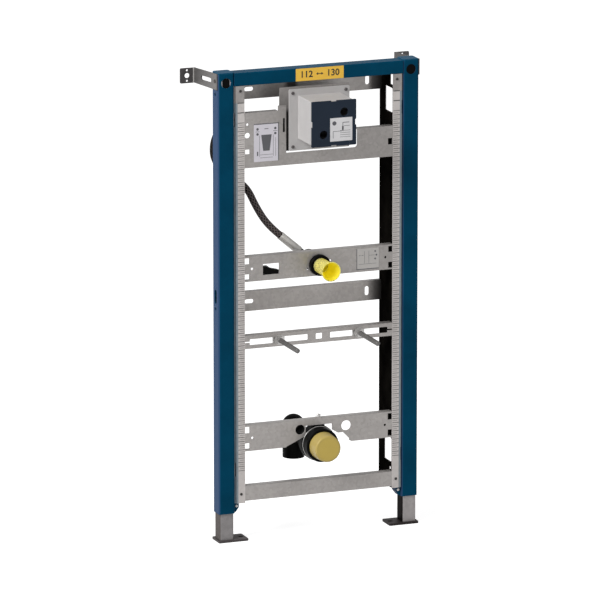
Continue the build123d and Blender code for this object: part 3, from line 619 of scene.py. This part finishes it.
def tube_along(line, radius, segments=24):
    # A tube that follows the line, with a map of length along it and share of a turn around it.
    bm = bmesh.new()
    layer = bm.loops.layers.uv.new("along")
    tangent = (line[1] - line[0]).normalized()
    across = tangent.orthogonal().normalized()
    rings, travelled, total = [], [], 0.0
    for i, point in enumerate(line):
        ahead = line[min(i + 1, len(line) - 1)] - line[max(i - 1, 0)]
        turn = tangent.rotation_difference(ahead.normalized())
        across = turn @ across
        tangent = ahead.normalized()
        other = tangent.cross(across)
        if i:
            total += (point - line[i - 1]).length
        travelled.append(total)
        rings.append([
            bm.verts.new(point + radius * (math.cos(angle) * across + math.sin(angle) * other))
            for angle in angles_round(segments)
        ])
    for i in range(len(rings) - 1):
        for k in range(segments):
            n = (k + 1) % segments
            face = bm.faces.new((rings[i][k], rings[i][n], rings[i + 1][n], rings[i + 1][k]))
            for loop, (length, share) in zip(face.loops, (
                (travelled[i], k), (travelled[i], k + 1), (travelled[i + 1], k + 1), (travelled[i + 1], k)
            )):
                loop[layer].uv = (length, share / segments)
    bm.faces.new(list(reversed(rings[0])))
    bm.faces.new(rings[-1])
    return bm, total


hose_line = smooth_route(HOSE_ROUTE)
hose_mesh, hose_length = tube_along(hose_line, HOSE_DIAMETER / 2)
hose = link("braided_hose", hose_mesh, braid("hose_braid", (0.055, 0.046, 0.045), hose_length, HOSE_DIAMETER),
            smooth=True)
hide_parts("flush_hose")


# Threaded rods
THREAD_PITCH = 1.75 * MM
THREAD_DEPTH = 0.55 * MM
CHAMFER_LENGTH = 1.5 * MM
CHAMFER_DEPTH = 1.0 * MM


def threaded_rod(name, node):
    low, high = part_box(node)
    radius = (high.x - low.x) / 2
    length = high.y - low.y
    segments, steps = 20, 4
    rows = int(length / THREAD_PITCH * steps)
    bm = bmesh.new()
    matrix = placed(((low.x + high.x) / 2, high.y, (low.z + high.z) / 2), FORWARD)
    rings = []
    for row in range(rows + 1):
        height = length * row / rows
        end_cut = min(1.0, min(height, length - height) / CHAMFER_LENGTH)
        ring = []
        for k, angle in enumerate(angles_round(segments)):
            phase = (height / THREAD_PITCH - k / segments) % 1.0
            ridge = abs(2 * phase - 1)
            reach = radius - THREAD_DEPTH * ridge - (1 - end_cut) * CHAMFER_DEPTH
            place = Vector((reach * math.cos(angle), reach * math.sin(angle), height))
            ring.append(bm.verts.new(matrix @ place))
        rings.append(ring)
    for lower, upper in zip(rings, rings[1:]):
        for k in range(segments):
            n = (k + 1) % segments
            bm.faces.new((lower[k], lower[n], upper[n], upper[k]))
    bm.faces.new(list(reversed(rings[0])))
    bm.faces.new(rings[-1])
    rod = link(name, bm, ROD_ZINC, smooth=True)
    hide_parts(node)


for side in SIDES:
    threaded_rod(f"{side}_rod_thread", f"{side}_threaded_rod")


# Ruler marks on the front flange of each rail
TICK_LOW = 170.0 * MM
TICK_HIGH = 1000.0 * MM
TICK_STEP = 5.0 * MM
TICK_LIFT = 0.12 * MM
TICK_INSET = 0.8 * MM
LONG_TICK = (16.0 * MM, 1.4 * MM)
SHORT_TICK = (12.0 * MM, 0.8 * MM)
END_BAR = (16.0 * MM, 2.2 * MM)
END_BAR_INSET = 9.0 * MM
END_BAR_HEIGHTS = (1024.0 * MM, BAND_TOP)
for side, direction in SIDES.items():
    bm = bmesh.new()
    for i in range(round((TICK_HIGH - TICK_LOW) / TICK_STEP) + 1):
        z = TICK_LOW + i * TICK_STEP
        length, height = SHORT_TICK if i % 2 else LONG_TICK
        start = INNER[side] + direction * TICK_INSET
        matrix = placed((start + direction * length / 2, FRONT, z), FORWARD)
        add_slab(bm, matrix, rectangle(length, height), TICK_LIFT)
    for z in END_BAR_HEIGHTS:
        matrix = placed((INNER[side] + direction * END_BAR_INSET, FRONT, z), FORWARD)
        add_slab(bm, matrix, rectangle(*END_BAR), TICK_LIFT)
    link(f"{side}_ruler_marks", bm, TICK)


# Screws: radius and height of each head, and its place
RAIL_SCREW = (3.4 * MM, 1.8 * MM)
RAIL_SCREW_HEIGHTS = (113.0 * MM, 1075.0 * MM)
RAIL_SCREW_INSET = 10.0 * MM
LUG_SCREW = (3.6 * MM, 2.2 * MM)
CLAMP_SCREW = (5.0 * MM, 4.0 * MM)
CLAMP_SCREW_SHIFT = 2.5 * MM
CLAMP_SCREW_SETBACK = 9.0 * MM
BRACKET_SCREW = (4.5 * MM, 2.2 * MM)
BRACKET_SCREW_SETBACK = 14.0 * MM
BRACKET_SCREW_DROP = 19.0 * MM
FLANGE_SCREW = (4.0 * MM, 2.4 * MM)
FLANGE_SCREW_X = 66.0 * MM
FLANGE_SCREW_Z = 63.5 * MM
FLANGE_STEP = 2.0 * MM

bm = bmesh.new()
for side, direction in SIDES.items():
    for z in RAIL_SCREW_HEIGHTS:
        add_pan_screw(bm, (INNER[side] + direction * RAIL_SCREW_INSET, FRONT, z), FORWARD, *RAIL_SCREW)
link("rail_screws", bm, DARK_SCREW, smooth=True)

# One screw in each leg lug, and the clamp's screw on top of the drain crossbar
bm = bmesh.new()
for side in SIDES:
    low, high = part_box(f"{side}_leg_lug")
    add_pan_screw(bm, ((low.x + high.x) / 2, low.y, (low.z + 2 * high.z) / 3), FORWARD, *LUG_SCREW)
place = (CENTRE + CLAMP_SCREW_SHIFT, FRONT + CLAMP_SCREW_SETBACK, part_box("drain_crossbar")[1].z)
add_pan_screw(bm, place, (0, 0, 1), *CLAMP_SCREW, (0, 1, 0))
link("frame_screws", bm, MATERIALS["zinc"], smooth=True)

# One screw on the outer side of each wall bracket's arm
bm = bmesh.new()
for side, direction in SIDES.items():
    bracket_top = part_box(f"{side}_wall_bracket")[1].z
    place = (bracket_fold(side), FRONT + BRACKET_SCREW_SETBACK, bracket_top - BRACKET_SCREW_DROP)
    add_pan_screw(bm, place, (direction, 0, 0), *BRACKET_SCREW)
link("bracket_screws", bm, DARK_SCREW, smooth=True)

# Plugs in the round holes at the top of the posts: on the left a narrow one on a pale lining,
# on the right a full one
LINK_HOLE = 11.7 * MM
LINK_HOLE_DROP = 24.0 * MM
LINK_HOLE_SETBACK = 4.0 * MM
LINING_THICKNESS = 2.0 * MM
PLUG_THICKNESS = 3.0 * MM
NARROW_PLUG = (17.0 * MM, 22.0 * MM, 6.0 * MM)
NARROW_PLUG_THICKNESS = 3.5 * MM
bm = bmesh.new()
pale = bmesh.new()
for side in SIDES:
    low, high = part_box(f"{side}_post")
    matrix = placed(((low.x + high.x) / 2, FRONT + LINK_HOLE_SETBACK, cad_high.z - LINK_HOLE_DROP), FORWARD)
    if side == "left":
        add_turned(pale, matrix, disc(LINK_HOLE, LINING_THICKNESS))
        add_slab(bm, matrix, rounded(*NARROW_PLUG), NARROW_PLUG_THICKNESS)
    else:
        add_turned(bm, matrix, disc(LINK_HOLE, PLUG_THICKNESS))
link("link_hole_plugs", bm, MATERIALS["black_plastic"])
link("link_hole_lining", pale, PAPER)

# Loose end of the clamp beside the drain, its places in millimetres
CLAMP_TAIL_RADIUS = 0.9 * MM
CLAMP_TAIL = [(270.6, -18, 233), (273, -18, 229), (272, -18, 223), (274, -18, 219), (278, -18, 217)]
bm, _ = tube_along([Vector(place) * MM for place in CLAMP_TAIL], CLAMP_TAIL_RADIUS, 10)
link("clamp_tail", bm, MATERIALS["black_plastic"], smooth=True)

# Metal ring round the drain collar
RING_THICKNESS = 1.4 * MM
RING_DEPTH = 1.6 * MM
RING_CLEARANCE = 0.1 * MM
bm = bmesh.new()
ring_low = (collar_high.x - collar_low.x) / 2 + RING_CLEARANCE
ring_high = ring_low + RING_THICKNESS
profile = [(ring_low, 0), (ring_high, 0), (ring_high, RING_DEPTH), (ring_low, RING_DEPTH), (ring_low, 0)]
add_turned(bm, placed((CENTRE, FRONT, DRAIN_Z), FORWARD), profile, 64)
bmesh.ops.remove_doubles(bm, verts=bm.verts, dist=0.01 * MM)
link("collar_ring", bm, MATERIALS["zinc"], smooth=True)

# Screws at the corners of the box flange
flange_centre_z = (flange_low.z + flange_high.z) / 2
bm = bmesh.new()
for sx in (-1, 1):
    for sz in (-1, 1):
        place = (CENTRE + sx * FLANGE_SCREW_X, FRONT - FLANGE_STEP, flange_centre_z + sz * FLANGE_SCREW_Z)
        add_pan_screw(bm, place, FORWARD, *FLANGE_SCREW)
link("box_flange_screws", bm, MATERIALS["dark_steel"], smooth=True)


# Labels with plain marks; the outlines of the marks are in millimetres from the label's middle
LABEL_THICKNESS = 0.2 * MM
MARK_THICKNESS = 0.1 * MM
DIGIT_HEIGHT = 15 * MM
DIGIT_BOLDNESS = 0.45 * MM
DIGIT_LIFT = 0.25 * MM
DIGIT_SHIFT = 33 * MM
CAPITAL_SHARE = 0.7


def label(name, x, z, y, width, height, radius, material, marks, mark_material):
    bm = bmesh.new()
    add_slab(bm, placed((x, y, z), FORWARD), rounded(width, height, radius), LABEL_THICKNESS)
    link(name, bm, material)
    bm = bmesh.new()
    for outline in marks:
        in_metres = [(across * MM, upwards * MM) for across, upwards in outline]
        add_slab(bm, placed((x, y - LABEL_THICKNESS, z), FORWARD), in_metres, MARK_THICKNESS)
    link(f"{name}_marks", bm, mark_material)


def numbers(name, text, x, z, y, material):
    # Digits as a flat mesh, slightly bold.
    half_thickness = MARK_THICKNESS / 2
    curve = bpy.data.curves.new("numbers", "FONT")
    curve.body = text
    curve.size = DIGIT_HEIGHT / CAPITAL_SHARE
    curve.extrude = half_thickness
    curve.offset = DIGIT_BOLDNESS
    curve.align_x = "CENTER"
    curve.align_y = "CENTER"
    curve.resolution_u = 3
    mesh = mesh_of(curve)
    mesh.transform(placed((x, y - half_thickness, z), FORWARD))
    bm = bmesh.new()
    bm.from_mesh(mesh)
    bpy.data.meshes.remove(mesh)
    link(name, bm, material)


# Height range on the top beam
beam_z = (beam_low.z + beam_high.z) / 2
beam_height = beam_high.z - beam_low.z
arrow = [rectangle(8, 1.8)]
arrow += [[(d * 4, -3.4 * d), (d * 9, 0), (d * 4, 3.4 * d)] for d in (-1, 1)]
label_x = CENTRE + 1.5 * MM
label("height_label", label_x, beam_z, FRONT, width=119 * MM, height=beam_height - 1.5 * MM, radius=1 * MM,
      material=LABEL_YELLOW, marks=arrow, mark_material=LABEL_BLACK)
for text, direction in (("112", -1), ("130", 1)):
    digits_x = label_x + direction * DIGIT_SHIFT
    numbers(f"height_{text}", text, digits_x, beam_z, FRONT - DIGIT_LIFT, LABEL_BLACK)

# Bowl's outline, dots and lines on the box crossbar
bowl = [(-13, 18), (13, 18), (8, -20), (-8, -20)]
bowl_marks = [list(reversed(bowl))]
bowl_marks += [rectangle(62, 2.2, 0, 43.9), rectangle(2.2, 90, 29.9, 0)]
bowl_marks += [rounded(6, 6, 2.9, sx * 22, z) for sx in (-1, 1) for z in (20, 32)]
bowl_marks += [rectangle(10, 1.0, sx * 22, 26) for sx in (-1, 1)]
bowl_marks += [rectangle(0.8, 50, sx * 17, -8) for sx in (-1, 1)]
bowl_marks += [rectangle(0.8, 44, 23, -12), rectangle(10, 1.6, 0, 32)]
bowl_marks += [rectangle(32, 0.8, 0, z) for z in (-36, -29)]
bowl_marks += [rectangle(3, 10, -22, -26)]
label("fixing_label", CENTRE - 131 * MM, 950 * MM, FRONT, width=62 * MM, height=90 * MM, radius=2 * MM,
      material=LAVENDER, marks=bowl_marks, mark_material=PRINT)

# Lines and a dot on the box cover
box_centre_z = (cover_low.z + cover_high.z) / 2
cover_marks = [rectangle(26, 0.8, 10, -18 + 5 * i) for i in range(4)]
cover_marks += [rectangle(4, 9, 4, 3), rectangle(22, 1.0, -9, -4)]
cover_marks += [rectangle(1.0, 16, -20, -12), rectangle(14, 1.0, 14, 8)]
cover_marks += [rectangle(1.4, 20, 4, 6), rectangle(16, 1.4, 12, 16)]
cover_marks += [rounded(10, 10, 4.9, -17, 15)]
label("cover_label", CENTRE + 17.5 * MM, box_centre_z - 15 * MM, cover_low.y,
      width=55 * MM, height=55 * MM, radius=1 * MM, material=PAPER, marks=cover_marks, mark_material=PRINT)

# Lines and dots on the flush crossbar
connection_marks = [rectangle(1.6, 50, -27.2, 0), rectangle(56, 2.0, 0, -24)]
connection_marks += [rounded(4.4, 4.4, 2.1, x, z) for x, z in ((19, 17), (22, 8), (19, -1))]
connection_marks += [rectangle(0.7, 30, x, 4) for x in (-8, 3)]
connection_marks += [rectangle(14, 0.7, 11, 8), rectangle(44, 0.7, 0, -12)]
connection_marks += [rectangle(5, 1.0, x, 9) for x in (-20, -13)]
label("connection_label", CENTRE + 122 * MM, 652 * MM, FRONT, width=56 * MM, height=50 * MM, radius=1 * MM,
      material=CLEAR_LABEL, marks=connection_marks, mark_material=PRINT)


# Stage, light and camera
FLOOR_REACH = 40.0
FLOOR_GREY = 0.55
FLOOR_GLOW = 0.80
WORLD_LIGHT = 0.50
WORLD_SEEN = 1.0
LAMPS = {  # place, size across and watts
    "key": ((-6.5, -2.5, 5.9), 3.8, 739.0),
    "fill": ((2.0, -5.0, 0.9), 2.8, 12.0),
}
CAMERA_AZIMUTH = math.radians(-21.25)
CAMERA_ELEVATION = math.radians(13.41)
CAMERA_DISTANCE = 15.64
CAMERA_TARGET = Vector((0.1902, 0.0, 0.5623))
CAMERA_LENS = 401.9


def seen_directly(tree):
    # 1 for what the camera sees, straight, in a shine or through a clear piece; 0 for light on the object.
    rays = tree.nodes.new("ShaderNodeLightPath")
    seen = math_node(tree, "MAXIMUM", rays.outputs["Is Camera Ray"], rays.outputs["Is Glossy Ray"])
    return math_node(tree, "MAXIMUM", seen, rays.outputs["Is Transmission Ray"])


def make_stage():
    mesh = bpy.data.meshes.new("floor")
    corners = [(sx * FLOOR_REACH, sy * FLOOR_REACH, 0) for sx, sy in ((-1, -1), (1, -1), (1, 1), (-1, 1))]
    mesh.from_pydata(corners, [], [(0, 1, 2, 3)])
    floor = bpy.data.objects.new("floor", mesh)
    bpy.context.scene.collection.objects.link(floor)
    mat = bpy.data.materials.new("pale_floor")
    mat.use_nodes = True
    tree = mat.node_tree
    tree.nodes.clear()
    diffuse = tree.nodes.new("ShaderNodeBsdfDiffuse")
    diffuse.inputs["Color"].default_value = (FLOOR_GREY, FLOOR_GREY, FLOOR_GREY, 1.0)
    glow = tree.nodes.new("ShaderNodeEmission")
    tree.links.new(math_node(tree, "MULTIPLY", seen_directly(tree), FLOOR_GLOW), glow.inputs["Strength"])
    both = tree.nodes.new("ShaderNodeAddShader")
    out = tree.nodes.new("ShaderNodeOutputMaterial")
    tree.links.new(diffuse.outputs["BSDF"], both.inputs[0])
    tree.links.new(glow.outputs["Emission"], both.inputs[1])
    tree.links.new(both.outputs["Shader"], out.inputs["Surface"])
    mesh.materials.append(mat)


def make_world():
    world = bpy.data.worlds.new("soft_white")
    world.use_nodes = True
    tree = world.node_tree
    tree.nodes.clear()
    background = tree.nodes.new("ShaderNodeBackground")
    tree.links.new(remap(tree, seen_directly(tree), WORLD_LIGHT, WORLD_SEEN), background.inputs["Strength"])
    out = tree.nodes.new("ShaderNodeOutputWorld")
    tree.links.new(background.outputs["Background"], out.inputs["Surface"])
    bpy.context.scene.world = world


def area_light(name, target, place, size, power):
    light = bpy.data.lights.new(name, "AREA")
    light.shape = "DISK"
    light.size = size
    light.energy = power
    obj = bpy.data.objects.new(name, light)
    obj.location = place
    obj.rotation_mode = "QUATERNION"
    obj.rotation_quaternion = (Vector(target) - Vector(place)).to_track_quat("-Z", "Y")
    bpy.context.scene.collection.objects.link(obj)


def make_camera():
    level = math.cos(CAMERA_ELEVATION)
    back = Vector((
        math.sin(CAMERA_AZIMUTH) * level, -math.cos(CAMERA_AZIMUTH) * level, math.sin(CAMERA_ELEVATION)
    ))
    camera = bpy.data.cameras.new("camera")
    camera.lens = CAMERA_LENS
    camera.sensor_width = 36.0
    camera.clip_end = 100.0
    obj = bpy.data.objects.new("camera", camera)
    obj.location = CAMERA_TARGET + back * CAMERA_DISTANCE
    obj.rotation_mode = "QUATERNION"
    obj.rotation_quaternion = (-back).to_track_quat("-Z", "Y")
    bpy.context.scene.collection.objects.link(obj)
    bpy.context.scene.camera = obj


make_stage()
make_world()
for lamp, settings in LAMPS.items():
    area_light(lamp, (cad_low + cad_high) / 2, *settings)
make_camera()
bpy.context.scene.view_settings.view_transform = "Standard"
